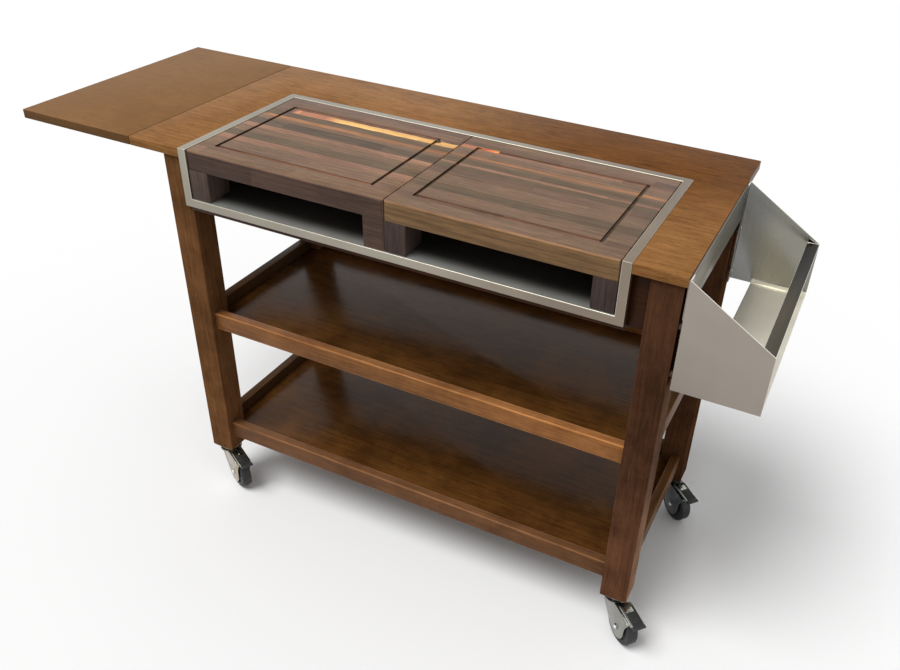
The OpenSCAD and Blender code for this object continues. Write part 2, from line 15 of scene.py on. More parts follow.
import bpy
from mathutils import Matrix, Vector

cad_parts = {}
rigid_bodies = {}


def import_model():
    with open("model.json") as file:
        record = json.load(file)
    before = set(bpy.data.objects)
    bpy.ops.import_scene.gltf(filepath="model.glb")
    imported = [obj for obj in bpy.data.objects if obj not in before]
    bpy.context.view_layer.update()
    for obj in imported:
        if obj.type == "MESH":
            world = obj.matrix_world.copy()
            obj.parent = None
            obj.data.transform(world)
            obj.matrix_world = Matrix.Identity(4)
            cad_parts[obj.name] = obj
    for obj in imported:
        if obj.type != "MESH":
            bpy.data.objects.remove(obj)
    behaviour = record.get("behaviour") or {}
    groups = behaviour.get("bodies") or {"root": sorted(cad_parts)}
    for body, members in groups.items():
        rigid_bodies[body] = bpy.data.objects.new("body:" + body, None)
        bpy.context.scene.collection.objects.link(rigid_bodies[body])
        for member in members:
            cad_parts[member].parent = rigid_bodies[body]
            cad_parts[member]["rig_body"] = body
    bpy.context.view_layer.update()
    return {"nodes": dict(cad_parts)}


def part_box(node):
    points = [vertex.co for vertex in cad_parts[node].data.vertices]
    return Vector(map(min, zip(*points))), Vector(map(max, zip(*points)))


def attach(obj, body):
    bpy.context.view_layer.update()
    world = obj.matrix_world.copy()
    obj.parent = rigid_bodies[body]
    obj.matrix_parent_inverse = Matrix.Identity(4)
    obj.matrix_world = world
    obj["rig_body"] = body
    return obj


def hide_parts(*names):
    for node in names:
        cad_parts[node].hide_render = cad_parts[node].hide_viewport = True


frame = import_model()

# %% [markdown]
# ## The camera
#
# The photograph looks down on the trolley from the front right, from a little over
# standing height. The camera stands at that point, with the same angle of view.

# %% Camera at the photograph's viewpoint
camera_place = (0.905, -1.5695, 1.6419)
camera_turn = (55.605, -2.201, 25.834)  # degrees
photo_width = 900  # pixels
focal_pixels = 894.2
centre_offset = (-36.4, 14.4)  # optical axis from the picture's middle, pixels
sensor_width = 36.0  # millimetres

lens = bpy.data.cameras.new("camera")
lens.sensor_width = sensor_width
lens.lens = focal_pixels / photo_width * sensor_width
lens.shift_x = centre_offset[0] / photo_width
lens.shift_y = centre_offset[1] / photo_width
lens.clip_start = 0.05
camera = bpy.data.objects.new("camera", lens)
camera.location = camera_place
camera.rotation_euler = [radians(angle) for angle in camera_turn]
bpy.context.scene.collection.objects.link(camera)
bpy.context.scene.camera = camera
bpy.context.scene.view_settings.view_transform = "Standard"
print("lens:", round(lens.lens, 2), "mm")

# %% [markdown]
# ## Working with node trees
#
# Every finish below is a tree of shader nodes. These small functions place them, as the
# shader editor would, so that each line of a finish reads as one step.

# %% Helpers for node trees
def add(tree, kind, inputs=None, **settings):
    """Adds a shader node. Each input takes a plain value or another node's output."""
    node = tree.nodes.new("ShaderNode" + kind)
    for key, value in settings.items():
        setattr(node, key, value)
    for key, value in (inputs or {}).items():
        if isinstance(value, bpy.types.NodeSocket):
            tree.links.new(value, node.inputs[key])
        else:
            node.inputs[key].default_value = value
    return node


def tone(code):
    """The linear colour of a hexadecimal screen colour such as 8f6b4a."""
    parts = [int(code[i:i + 2], 16) / 255 for i in (0, 2, 4)]
    return (*[c / 12.92 if c <= 0.04045 else ((c + 0.055) / 1.055) ** 2.4 for c in parts], 1)


def mixed(tree, factor, a, b, how="MIX"):
    """Output of a colour mix."""
    node = add(tree, "Mix", data_type="RGBA", blend_type=how)
    for index, value in ((0, factor), (6, a), (7, b)):
        if isinstance(value, bpy.types.NodeSocket):
            tree.links.new(value, node.inputs[index])
        else:
            node.inputs[index].default_value = value
    return node.outputs[2]


def maths(tree, operation, a, b=0.0, c=0.0, clamp=False):
    """Output of a maths node. MULTIPLY_ADD gives a times b plus c."""
    return add(tree, "Math", {0: a, 1: b, 2: c}, operation=operation, use_clamp=clamp).outputs[0]


def remapped(tree, value, low, high, to_low=0.0, to_high=1.0):
    """Output of a smooth ramp from low to high."""
    inputs = {"Value": value, "From Min": low, "From Max": high, "To Min": to_low, "To Max": to_high}
    return add(tree, "MapRange", inputs, interpolation_type="SMOOTHSTEP").outputs[0]


def group_of(name, inputs, outputs):
    """A new shader node group with named sockets, and its two end nodes."""
    group = bpy.data.node_groups.new(name, "ShaderNodeTree")
    for label, kind, value in inputs:
        socket = group.interface.new_socket(label, in_out="INPUT", socket_type="NodeSocket" + kind)
        socket.default_value = value
    for label, kind in outputs:
        group.interface.new_socket(label, in_out="OUTPUT", socket_type="NodeSocket" + kind)
    return group, group.nodes.new("NodeGroupInput").outputs, group.nodes.new("NodeGroupOutput")


def material_of(name):
    """A new material, its tree, its Principled shader and its object coordinates."""
    material = bpy.data.materials.new(name)
    material.use_nodes = True
    tree = material.node_tree
    place = add(tree, "TexCoord")
    return material, tree, tree.nodes["Principled BSDF"], place.outputs


def put_group(tree, group, inputs):
    """Places a node group in a tree and returns its outputs."""
    node = tree.nodes.new("ShaderNodeGroup")
    node.node_tree = group
    for key, value in inputs.items():
        if isinstance(value, bpy.types.NodeSocket):
            tree.links.new(value, node.inputs[key])
        else:
            node.inputs[key].default_value = value
    return node.outputs


def tinted(tree, colour, by):
    """A colour multiplied by another."""
    return mixed(tree, 1.0, colour, by, "MULTIPLY")


def dimmed(tree, colour, level):
    """A colour multiplied by a node's level."""
    return tinted(tree, colour, add(tree, "CombineColor", {0: level, 1: level, 2: level}).outputs[0])


def product(tree, level, *others):
    """Output of several levels multiplied together."""
    for other in others:
        level = maths(tree, "MULTIPLY", level, other)
    return level


def plateau(tree, value, begins, full, fades, ends):
    """1 over a range of values, with a smooth step up to it and down from it."""
    return product(tree, remapped(tree, value, begins, full),
                   remapped(tree, value, fades, ends, 1.0, 0.0))


def vector_maths(tree, operation, a, b, c=(0, 0, 0)):
    """Output of a vector maths node: a number for a distance, and else a vector."""
    node = add(tree, "VectorMath", {0: a, 1: b, 2: c}, operation=operation)
    return node.outputs["Value" if operation == "DISTANCE" else "Vector"]


def split(tree, vector):
    """The X, Y and Z of a vector."""
    return add(tree, "SeparateXYZ", {0: vector}).outputs


def noise(tree, place, scale, detail, roughness=0.5):
    """Outputs of a noise texture: its level comes first."""
    inputs = {"Vector": place, "Scale": scale, "Detail": detail, "Roughness": roughness}
    return add(tree, "TexNoise", inputs).outputs


def in_sight(tree):
    """1 for what the eye or a reflection meets, and 0 for what only gives light."""
    path = add(tree, "LightPath").outputs
    met = maths(tree, "MAXIMUM", path["Is Camera Ray"], path["Is Glossy Ray"])
    return maths(tree, "MAXIMUM", met, path["Is Transmission Ray"])


def hand_out(group, result, values):
    """Links what a node group works out to its end node."""
    for label, value in values.items():
        group.links.new(value, result.inputs[label])


def surfaced(tree, shader, colour, roughness, height=None, strength=0.0, distance=0.0):
    """Links a finish's colour and roughness to its shader, and its height as a bump."""
    tree.links.new(colour, shader.inputs["Base Color"])
    tree.links.new(roughness, shader.inputs["Roughness"])
    if height is not None:
        bump = add(tree, "Bump", {"Height": height, "Strength": strength, "Distance": distance})
        tree.links.new(bump.outputs[0], shader.inputs["Normal"])


# %% [markdown]
# ## The light
#
# The light is that of a plain studio: a pale sky all round and one broad soft light from
# high above, a little to the front and left. An area lamp would fade towards the edge of
# the picture, so it is a sun lamp, which lights the whole floor evenly. Where a ray meets
# nothing, the world is pure white to the eye and to metal, and dimmer as a light, which
# leaves the shadows some depth.

# %% World and sun
sky_strength = 0.45
sun_strength = 2.05
sun_softness = 32  # degrees across the light
sun_from = Vector((-0.35, -0.55, 1.25))  # high, a little from the front left
world = bpy.data.worlds.new("studio")
bpy.context.scene.world = world
world.use_nodes = True
sky = world.node_tree
sky.nodes.clear()
levels = {0: in_sight(sky), 2: sky_strength, 3: 1.0}
strength = add(sky, "Mix", levels, data_type="FLOAT").outputs[0]
background = add(sky, "Background", {"Color": (1, 1, 1, 1), "Strength": strength})
add(sky, "OutputWorld", {"Surface": background.outputs[0]})

light = bpy.data.lights.new("soft_sun", "SUN")
light.energy = sun_strength
light.angle = radians(sun_softness)
sun = bpy.data.objects.new("soft_sun", light)
sun.location = sun_from * 3
sun.rotation_euler = sun_from.to_track_quat("Z", "Y").to_euler()
bpy.context.scene.collection.objects.link(sun)
print("sun height:", round(sun_from.normalized().z, 2))

# %% [markdown]
# ## The floor
#
# The photograph's background is pure white. A pale floor keeps the soft shadows under
# the castors, which show that the trolley stands on something. The eye and mirrors see
# it white, but it throws back less light than a white floor would, or the undersides
# and the leg faces would come out as bright as the worktop.

# %% Floor
floor_half = 14.0
floor_thrown = (0.45, 0.45, 0.45, 1)  # what it gives as a light
floor_seen = (0.98, 0.98, 0.98, 1)  # what the eye sees
bpy.ops.object.select_all(action="DESELECT")
bpy.ops.mesh.primitive_plane_add(size=2 * floor_half)
floor = bpy.context.active_object
floor.name = "floor"
floor_paint, tree, shader, _ = material_of("floor_paint")
tree.links.new(mixed(tree, in_sight(tree), floor_thrown, floor_seen), shader.inputs["Base Color"])
shader.inputs["Roughness"].default_value = 0.8
shader.inputs["Specular IOR Level"].default_value = 0.0
floor.data.materials.append(floor_paint)
print("floor:", 2 * floor_half, "m across")

# %% [markdown]
# ## Grain
#
# Stained timber has three things that a flat colour lacks: long bands where the growth
# rings meet the surface, short dark pores along the same direction, and slow blotches
# where the stain took better. A picture of wood could be wrapped round each board, but
# it would show seams and repeats. Here all three are noise, stretched along the grain.
# They go into one node group, because every wooden piece uses them with its own
# colours. The Stretch input squeezes the coordinates across the grain, which draws the
# noise out along it.

# %% Group: grain
grain, given, result = group_of(
    "grain",
    [("Place", "Vector", (0, 0, 0)), ("Stretch", "Vector", (1, 1, 1)),
     ("Dark", "Color", (0, 0, 0, 1)), ("Light", "Color", (1, 1, 1, 1)),
     ("Bands", "Float", 1.0), ("Pores", "Float", 0.5), ("Blotches", "Float", 0.3)],
    [("Color", "Color"), ("Height", "Float"), ("Gloss", "Float")])
pore_stain = (0.4, 0.36, 0.34, 1)  # what a full pore multiplies the colour by
bend = (2.5, 2.5, 2.5)  # how far slow noise bends the bands
stretched = vector_maths(grain, "MULTIPLY", given["Place"], given["Stretch"])
wander = noise(grain, stretched, 0.25, 2.0)["Color"]
bent = vector_maths(grain, "MULTIPLY_ADD", wander, bend, stretched)
rings = noise(grain, bent, 1.0, 9.0, 0.74)[0]
band = remapped(grain, rings, 0.32, 0.68, -0.5, 0.5)
fine = noise(grain, stretched, 2.6, 6.0, 0.8)[0]
pore = remapped(grain, fine, 0.52, 0.62)
cloud = noise(grain, given["Place"], 6.0, 7.0, 0.68)[0]
blotch = remapped(grain, cloud, 0.32, 0.68, -0.5, 0.5)
banded = maths(grain, "MULTIPLY_ADD", band, given["Bands"], 0.5)
toned = maths(grain, "MULTIPLY_ADD", blotch, given["Blotches"], banded, clamp=True)
base = mixed(grain, toned, given["Dark"], given["Light"])
pore_cut = product(grain, pore, given["Pores"])
pored = mixed(grain, pore_cut, base, tinted(grain, base, pore_stain))
relief = maths(grain, "MULTIPLY_ADD", pore_cut, -1.0, product(grain, band, 0.3))
sheen = product(grain, maths(grain, "ADD", fine, cloud), 0.5)
hand_out(grain, result, {"Color": pored, "Height": relief, "Gloss": sheen})
print("grain group:", len(grain.nodes), "nodes")

# %% [markdown]
# ## Stained timber
#
# Where a board is cut across, its grain ends in small dots instead of bands, and the
# stain goes deeper, so the end is darker. The object's own normal tells which faces
# those are, and it turns with the piece when the piece moves. The light on the trolley
# is uneven: some boards go darker or paler towards one end, near the floor or on one
# face. Those slow changes are painted light and shade, laid into the colour by the board's own
# coordinates.

# %% One timber
along = {"x": (1, 0, 0), "y": (0, 1, 0), "z": (0, 0, 1)}
end_stretch = (120, 120, 120)  # end grain has no direction
glow_heights = (0.15, 0.6)  # light from the floor fades between these
unchanged = (1, 1, 1, 1)


def stretch_for(axis, length_scale, width_scale):
    """How much the grain's coordinates are squeezed, along and across the axis."""
    return tuple(length_scale if unit else width_scale for unit in along[axis])


def lifted(code, lift):
    """A colour made paler or darker by one factor."""
    return (*[min(1, c * lift) for c in tone(code)[:3]], 1)


def timber(name, axis, dark, light, lift=1.0, gloss=0.34, shine=0.07, bands=0.6, pores=0.4,
           blotches=0.45, length_scale=9.0, width_scale=200.0,
           far=None, low=1.0, right=None, front=1.0):
    """Lacquered timber with dark and light bands along an axis. lift makes both paler.
    far is (dark, light, x0, x1, y0, y1): the tones that it takes on towards x1 and y1.
    low makes it paler near the floor, and front makes front edges paler or darker. right is
    (below, above, height): what multiplies the colour of faces that look to the right."""
    material, tree, shader, place = material_of(name)
    tones = [lifted(dark, lift), lifted(light, lift)]
    where, looks = split(tree, place["Object"]), split(tree, place["Normal"])
    if far:
        dark_there, light_there, x0, x1, y0, y1 = far
        share = product(tree, remapped(tree, where["X"], x0, x1),
                        remapped(tree, where["Y"], y0, y1, 0.2, 1.0))
        tones = [mixed(tree, share, here, lifted(there, lift))
                 for here, there in zip(tones, (dark_there, light_there))]
    figure = put_group(tree, grain, {
        "Place": place["Object"], "Stretch": stretch_for(axis, length_scale, width_scale),
        "Dark": tones[0], "Light": tones[1],
        "Bands": bands, "Pores": pores, "Blotches": blotches})
    ends = put_group(tree, grain, {
        "Place": place["Object"], "Stretch": end_stretch,
        "Dark": lifted(dark, 0.5 * lift), "Light": lifted(light, 0.65 * lift),
        "Bands": 0.6, "Pores": 0.4, "Blotches": 0.2})
    is_end = remapped(tree, maths(tree, "ABSOLUTE", looks[axis.upper()]), 0.8, 0.95)
    colour = mixed(tree, is_end, figure["Color"], ends["Color"])
    # low above 1 paints light from the floor: paler towards the bottom
    if low != 1.0:
        colour = dimmed(tree, colour, remapped(tree, where["Z"], *glow_heights, low, 1.0))
    # painted light on faces that look to the right, below the height, and painted shade above it
    if right:
        below, above, height = right
        is_above = remapped(tree, where["Z"], height - 0.02, height + 0.02)
        is_right = remapped(tree, looks["X"], 0.7, 0.9)
        painted_side_light_and_shade = mixed(tree, is_above, below, above)
        colour = tinted(tree, colour, mixed(tree, is_right, unchanged, painted_side_light_and_shade))
    # front below 1 paints shade on faces that look to the front
    if front != 1.0:
        is_front = remapped(tree, looks["Y"], -0.9, -0.7, 1.0, 0.0)
        painted_front_shade = mixed(tree, is_front, unchanged, (front, front, front, 1))
        colour = tinted(tree, colour, painted_front_shade)
    roughness = remapped(tree, figure["Gloss"], 0.3, 0.7, gloss - 0.06, gloss + 0.08)
    surfaced(tree, shader, colour, roughness, figure["Height"], 0.12, 0.0005)
    shader.inputs["Specular IOR Level"].default_value = shine
    return material


def timber_pair(name, axis, dark, light, wear_and_highlight=1.3, **settings):
    """The same timber for faces and, paler, for the arrises: part wear, part painted highlight."""
    return (timber(name, axis, dark, light, **settings),
            timber(name + "_arris", axis, dark, light, lift=wear_and_highlight, **settings))


# %% Timbers of the trolley
leg_looks = {"wear_and_highlight": 1.2, "shine": 0.0}
# painted light low on the front right leg's right face, and painted shade above it, behind the rack
right_face_painted_light_and_shade = ((2.6, 3.4, 4.2, 1), (0.3, 0.3, 0.3, 1), 0.7)
# low: painted light from the floor on the legs' lower ends
leg_timber = timber_pair("leg_timber", "z", "5d3e25", "825a39", blotches=0.8, low=1.5, **leg_looks)
dark_leg_timber = timber_pair("dark_leg_timber", "z", "3d271b", "5b3c2a", blotches=0.9, low=2.1,
                              right=right_face_painted_light_and_shade, **leg_looks)
# a darker copy for the rear right leg: painted shade
shaded_far_leg_timber = timber_pair("shaded_far_leg_timber", "z", "442b1d", "63432c", blotches=0.8, low=1.2,
                             **leg_looks)
apron_timber = {axis: timber_pair("apron_timber_" + axis, axis, "2d190d", "452916") for axis in "xy"}
# the middle rails are paler than the lower ones, painted light, and paler still towards the right end,
# a painted reflection
rail_timber = timber_pair("rail_timber", "x", "73492a", "9c6b40", wear_and_highlight=1.7, blotches=0.7,
                          far=("895730", "ba7f4b", 0.1, 0.6, -2.0, -1.0))
low_rail_timber = timber_pair("low_rail_timber", "x", "5c3d25", "80583a", wear_and_highlight=1.7, blotches=0.7)
side_rail_timber = timber_pair("side_rail_timber", "y", "583a20", "7c542e", wear_and_highlight=1.3)
shaded_rail_timber = timber_pair("shaded_rail_timber", "y", "402b1a", "5c4027", wear_and_highlight=1.9)
panel_timber = timber_pair("panel_timber", "x", "452a12", "6b451f", gloss=0.2, shine=0.14,
                           blotches=0.8, length_scale=7.0, width_scale=110.0)
top_timber = timber_pair("top_timber", "x", "81572f", "ab7b4c", wear_and_highlight=1.1, gloss=0.3, shine=0.012,
                         bands=0.85, pores=0.8, length_scale=14.0, width_scale=230.0,
                         far=("56300e", "80501f", -0.2, 0.4, -0.1, 0.2))
# front=0.62 paints shade on the leaf's front edge
leaf_timber = timber_pair("leaf_timber", "x", "7f5b3a", "956f49", wear_and_highlight=1.1, gloss=0.4, shine=0.015,
                          bands=0.4, length_scale=14.0, width_scale=230.0, front=0.62)
print("timbers:", sum("timber" in m.name for m in bpy.data.materials))

# %% [markdown]
# ## Walnut strips
#
# The two loose boards are glued up from walnut strips that run from left to right. Each
# strip has its own colour, from grey olive to rose brown, and one near the back of the
# left board still has its golden sapwood. A colour ramp across the board, with hard
# steps, lays the strips as a joiner would, from front to back. Most strips are jointed
# from shorter pieces, so a second pattern along each strip makes pieces a little
# lighter or darker. The grain runs along all of them.

# %% Group: walnut
walnut, given, result = group_of(
    "walnut",
    [("Place", "Vector", (0, 0, 0)), ("Strip", "Color", (0.5, 0.5, 0.5, 1)),
     ("Piece Length", "Float", 0.25)],
    [("Color", "Color"), ("Height", "Float"), ("Gloss", "Float")])
streak_stretch = (8.0, 240.0, 240.0)
dark_streak, light_streak = (0.62, 0.6, 0.6, 1), (1.36, 1.3, 1.24, 1)
by_strip = add(walnut, "TexWhiteNoise", {"Vector": given["Strip"]}, noise_dimensions="3D")
offset = by_strip.outputs["Value"]
pieces_along = maths(walnut, "DIVIDE", split(walnut, given["Place"])["X"], given["Piece Length"])
run = maths(walnut, "MULTIPLY_ADD", offset, 40.0, pieces_along)
cell = add(walnut, "TexVoronoi", {"W": run, "Scale": 1.0}, voronoi_dimensions="1D").outputs["Color"]
pick = add(walnut, "SeparateColor", {0: cell}).outputs
level = remapped(walnut, pick["Red"], 0.0, 1.0, 0.86, 1.14)
piece_tone = dimmed(walnut, given["Strip"], level)
move_along = product(walnut, pick["Green"], 2.0)
slide = add(walnut, "CombineXYZ", {"X": move_along, "Y": offset}).outputs[0]
lines = put_group(walnut, grain, {
    "Place": vector_maths(walnut, "ADD", given["Place"], slide), "Stretch": streak_stretch,
    "Dark": tinted(walnut, piece_tone, dark_streak), "Light": tinted(walnut, piece_tone, light_streak),
    "Bands": 0.9, "Pores": 0.55, "Blotches": 0.3})
hand_out(walnut, result, {label: lines[label] for label in ("Color", "Height", "Gloss")})
print("walnut group:", len(walnut.nodes), "nodes")

# %% [markdown]
# ## What lies on the strips
#
# Three things lie over the strips: the sapwood's ragged edge, a knot, and the groove.
# The groove's side runs get painted shade, and its front and back runs get painted light,
# which keeps them pale. The front of a board is a single strip without joints.

# %% Sapwood, knot and groove
wood_names = {"olive": "6a5946", "umber": "6f5848", "plum": "6b5549", "walnut": "7b6350",
              "rose": "8f6d59", "ginger": "9c7150", "drab": "5d4e40"}
pink_sapwood, gold_sapwood = "c08262", "e9b873"
knot_ring, ring_fade = "a07a52", (0.009, 0.013)  # radii between which it fades out
knot_heart, heart_fade = "1d120c", (0.005, 0.009)
# the next two: painted shade in the groove's side runs, and painted light on its front and back runs
groove_painted_shade = "1d1510"
groove_painted_light = (1.9, 1.8, 1.7, 1)  # what a pale run multiplies the colour by
side_run = (0.034, 0.0355, 0.0445, 0.046)  # from a board's end: begins, is full, fades, ends
right_run_inset = 0.012  # the right-hand run lies further in by this
lip_depths, groove_floor = (0.0004, 0.002), 0.006  # below a board's face
groove_front = 0.02  # the groove lies further back than this
front_strip = 0.015  # how far back the front strip's colour can reach


def strip_colours(tree, y, front_y, depth, strips):
    """A ramp with hard steps that gives each strip its colour, from front to back."""
    share = maths(tree, "DIVIDE", maths(tree, "SUBTRACT", y, front_y), depth)
    ramp = add(tree, "ValToRGB", {"Fac": share})
    ramp.color_ramp.interpolation = "CONSTANT"
    for index, (start, wood_name) in enumerate(strips):
        if index < 2:
            stop = ramp.color_ramp.elements[index]
            stop.position = start / 1000 / depth
        else:
            stop = ramp.color_ramp.elements.new(start / 1000 / depth)
        stop.color = tone(wood_names[wood_name])
    return ramp.outputs[0]


def with_sapwood(tree, place, where, strip_tone, sapwood):
    """Sapwood over a part of the strips, pink at first and golden further on."""
    x0, x1, y0, y1, turn = sapwood
    ragged = maths(tree, "SUBTRACT", noise(tree, place["Object"], 30.0, 3.0)[0], 0.5)
    across = maths(tree, "ADD", where["Y"], product(tree, ragged, 0.006))
    mask = product(tree, plateau(tree, across, y0, y0 + 0.0015, y1, y1 + 0.0015),
                   plateau(tree, where["X"], x0, x0 + 0.01, x1, x1 + 0.004))
    turned = remapped(tree, where["X"], turn - 0.02, turn + 0.02)
    sap = mixed(tree, turned, tone(pink_sapwood), tone(gold_sapwood))
    return mixed(tree, mask, strip_tone, sap)


def with_knot(tree, place, colour, knot):
    """A round knot: a dark heart in a paler ring."""
    flat = vector_maths(tree, "MULTIPLY", place["Object"], (1, 1, 0))
    gap = vector_maths(tree, "DISTANCE", flat, (*knot, 0))
    ringed = mixed(tree, remapped(tree, gap, *ring_fade, 0.5, 0.0), colour, tone(knot_ring))
    return mixed(tree, remapped(tree, gap, *heart_fade, 0.97, 0.0), ringed, tone(knot_heart))


def with_groove(tree, where, low, high, colour):
    """The groove, with painted shade in its side runs and painted light in the others."""
    beside = maths(tree, "MINIMUM", maths(tree, "SUBTRACT", where["X"], low.x),
                   maths(tree, "SUBTRACT", high.x - right_run_inset, where["X"]))
    in_side_run = plateau(tree, beside, *side_run)
    below = maths(tree, "SUBTRACT", high.z, where["Z"])
    sunk = product(tree, remapped(tree, below, *lip_depths),
                   maths(tree, "LESS_THAN", below, groove_floor),
                   maths(tree, "GREATER_THAN", where["Y"], low.y + groove_front))
    painted_light_share = maths(tree, "SUBTRACT", sunk, in_side_run, clamp=True)
    painted_shade_share = product(tree, in_side_run, sunk, 0.6)
    colour = mixed(tree, painted_light_share, colour, tinted(tree, colour, groove_painted_light))
    return mixed(tree, painted_shade_share, colour, tone(groove_painted_shade))


print("walnut colours:", len(wood_names))

# %% Walnut board
def walnut_board(name, box, strips, front, lift=1.0, sapwood=None, knot=None):
    """Oiled walnut. strips lists each strip's start, in millimetres from the front, and its
    colour. sapwood is (x0, x1, y0, y1, where pink turns gold) and knot is (x, y), in metres."""
    low, high = box
    material, tree, shader, place = material_of(name)
    where, looks = split(tree, place["Object"]), split(tree, place["Normal"])
    strip_tone = strip_colours(tree, where["Y"], low.y, high.y - low.y, strips)
    if sapwood:
        strip_tone = with_sapwood(tree, place, where, strip_tone, sapwood)
    is_front = product(tree, remapped(tree, looks["Y"], -0.8, -0.6, 1.0, 0.0),
                       maths(tree, "LESS_THAN", where["Y"], low.y + front_strip))
    strip_tone = mixed(tree, is_front, strip_tone, tone(front))
    piece_length = maths(tree, "MULTIPLY_ADD", is_front, 3.0, 0.25)  # the front strip has no joints
    wood = put_group(tree, walnut, {"Place": place["Object"], "Strip": strip_tone,
                                    "Piece Length": piece_length})
    colour = with_knot(tree, place, wood["Color"], knot) if knot else wood["Color"]
    colour = tinted(tree, with_groove(tree, where, low, high, colour), (lift, lift, lift, 1))
    roughness = remapped(tree, wood["Gloss"], 0.3, 0.7, 0.4, 0.55)
    surfaced(tree, shader, colour, roughness, wood["Height"], 0.2, 0.0005)
    shader.inputs["Specular IOR Level"].default_value = 0.12
    return material


left_box, right_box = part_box("board_left"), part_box("board_right")
(left_low, left_high), (right_low, right_high) = left_box, right_box
left_strips = [(0, "walnut"), (34, "umber"), (62, "walnut"), (96, "rose"), (118, "olive"),
               (150, "walnut"), (176, "rose"), (196, "drab"), (232, "walnut"), (246, "ginger"),
               (262, "olive"), (298, "plum"), (322, "umber"), (350, "plum")]
right_strips = [(0, "walnut"), (36, "umber"), (58, "walnut"), (92, "olive"), (124, "walnut"),
                (166, "umber"), (196, "olive"), (218, "rose"), (228, "olive"), (252, "walnut"),
                (262, "ginger"), (274, "walnut"), (304, "rose"), (318, "umber"), (346, "walnut")]
golden = (left_low.x + 0.05, left_high.x, left_high.y - 0.086, left_high.y - 0.065,
          left_low.x + 0.16)
pinkish = (right_low.x - 0.5, right_low.x + 0.085, right_high.y - 0.062, right_high.y - 0.048,
           right_low.x + 0.08)
knot_place = (left_high.x - 0.048, left_high.y - 0.067)
left_walnut = walnut_board("left_walnut", left_box, left_strips, "4c3c34", lift=1.2,
                           sapwood=golden, knot=knot_place)
right_walnut = walnut_board("right_walnut", right_box, right_strips, "846849", lift=1.04,
                            sapwood=pinkish)
# the boards' paler arris finishes: part wear, part painted highlight
left_worn = walnut_board("left_worn", left_box, left_strips, "7b6251", lift=1.25)
right_worn = walnut_board("right_worn", right_box, right_strips, "a57e5c", lift=1.15)
foot_looks = {"gloss": 0.5, "bands": 0.8, "pores": 0.5}
left_foot_walnut = timber("left_foot_walnut", "z", "4a3c36", "685850", **foot_looks)
right_foot_walnut = timber("right_foot_walnut", "z", "3a302d", "574843", **foot_looks)
print("board length:", round(left_high.x - left_low.x, 4), "m")

# %% [markdown]
# ## Brushed steel
#
# Brushed sheet has fine parallel scratches, which spread a reflection across the
# direction of brushing. Noise that is drawn out along that direction varies the
# colour, the roughness and the height a little. Bends and cut edges get a brighter,
# smoother steel, a painted highlight on the rounded arrises. The tray's floor has
# painted shade: it is bright at its front lip and dark further in, where the boards stand over it.

# %% Group: brushing
brushing, given, result = group_of(
    "brushing",
    [("Place", "Vector", (0, 0, 0)), ("Stretch", "Vector", (1, 1, 1)),
     ("Color", "Color", (1, 1, 1, 1)), ("Contrast", "Float", 0.2)],
    [("Color", "Color"), ("Roughness", "Float"), ("Height", "Float")])
stretched = vector_maths(brushing, "MULTIPLY", given["Place"], given["Stretch"])
scratch = noise(brushing, stretched, 1.0, 6.0, 0.75)[0]
smear = noise(brushing, given["Place"], 6.0, 2.0)[0]
tilt = product(brushing, maths(brushing, "SUBTRACT", scratch, 0.5), given["Contrast"])
level = product(brushing, maths(brushing, "ADD", tilt, 1.0),
                remapped(brushing, smear, 0.3, 0.7, 0.89, 1.07))
hand_out(brushing, result, {"Color": dimmed(brushing, given["Color"], level),
                            "Roughness": product(brushing, scratch, 0.3),
                            "Height": scratch})
print("brushing group:", len(brushing.nodes), "nodes")

# %% Steels of the tray and rack
def brushed(name, axis, code, roughness=0.26, contrast=0.3, metallic=1.0, far=None):
    """Brushed steel with its scratches along an axis. far is (colour, axis letter, start, end): the
    colour it turns to between start and end, painted light and shade.
    """
    material, tree, shader, place = material_of(name)
    colour = tone(code)
    if far:
        painted_far_code, letter, start, end = far
        share = remapped(tree, split(tree, place["Object"])[letter], start, end)
        colour = mixed(tree, share, tone(code), tone(painted_far_code))
    steel = put_group(tree, brushing, {
        "Place": place["Object"], "Stretch": stretch_for(axis, 6.0, 900.0),
        "Color": colour, "Contrast": contrast})
    haze = maths(tree, "ADD", steel["Roughness"], roughness - 0.15)
    surfaced(tree, shader, steel["Color"], haze, steel["Height"], 0.08, 0.0003)
    shader.inputs["Metallic"].default_value = metallic
    return material


rear_side_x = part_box("rack_side_rear")[0].x
bar_low, bar_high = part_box("rack_bar")
tray_low, tray_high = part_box("steel_tray")
# the tray's walls darken towards the right: a painted reflection
tray_steel = brushed("tray_steel", "x", "a09a8d", roughness=0.42, far=("897d6f", "X", 0.0, 0.58))
# the tray's floor: pale at its front lip and darker further in, painted shade under the boards
tray_floor_steel = brushed("tray_floor_steel", "x", "e7eae5", roughness=0.38, metallic=0.85,
                           far=("666765", "Y", tray_low.y + 0.003, tray_low.y + 0.05))
strip_steel = brushed("strip_steel", "y", "746f64", roughness=0.34, contrast=0.14)
side_steel = brushed("side_steel", "x", "978e85", roughness=0.34, contrast=0.14)
# the far rack side is dark, turning paler towards the right: a painted reflection
far_side_painted_reflection_steel = brushed("far_side_painted_reflection_steel", "z", "7d7d7b",
                         far=("88867d", "X", rear_side_x + 0.03, rear_side_x + 0.075))
# the rack's floor is paler than the other sheets: painted light inside the rack's shade
floor_steel = brushed("floor_steel", "y", "e6e1d0", roughness=0.45, metallic=0.7)
# the bar is dark, and darker still towards the back: painted shade
shaded_bar_steel = brushed("shaded_bar_steel", "y", "443d2d",
                    far=("24221d", "Y", bar_low.y + 0.1, bar_high.y - 0.05))
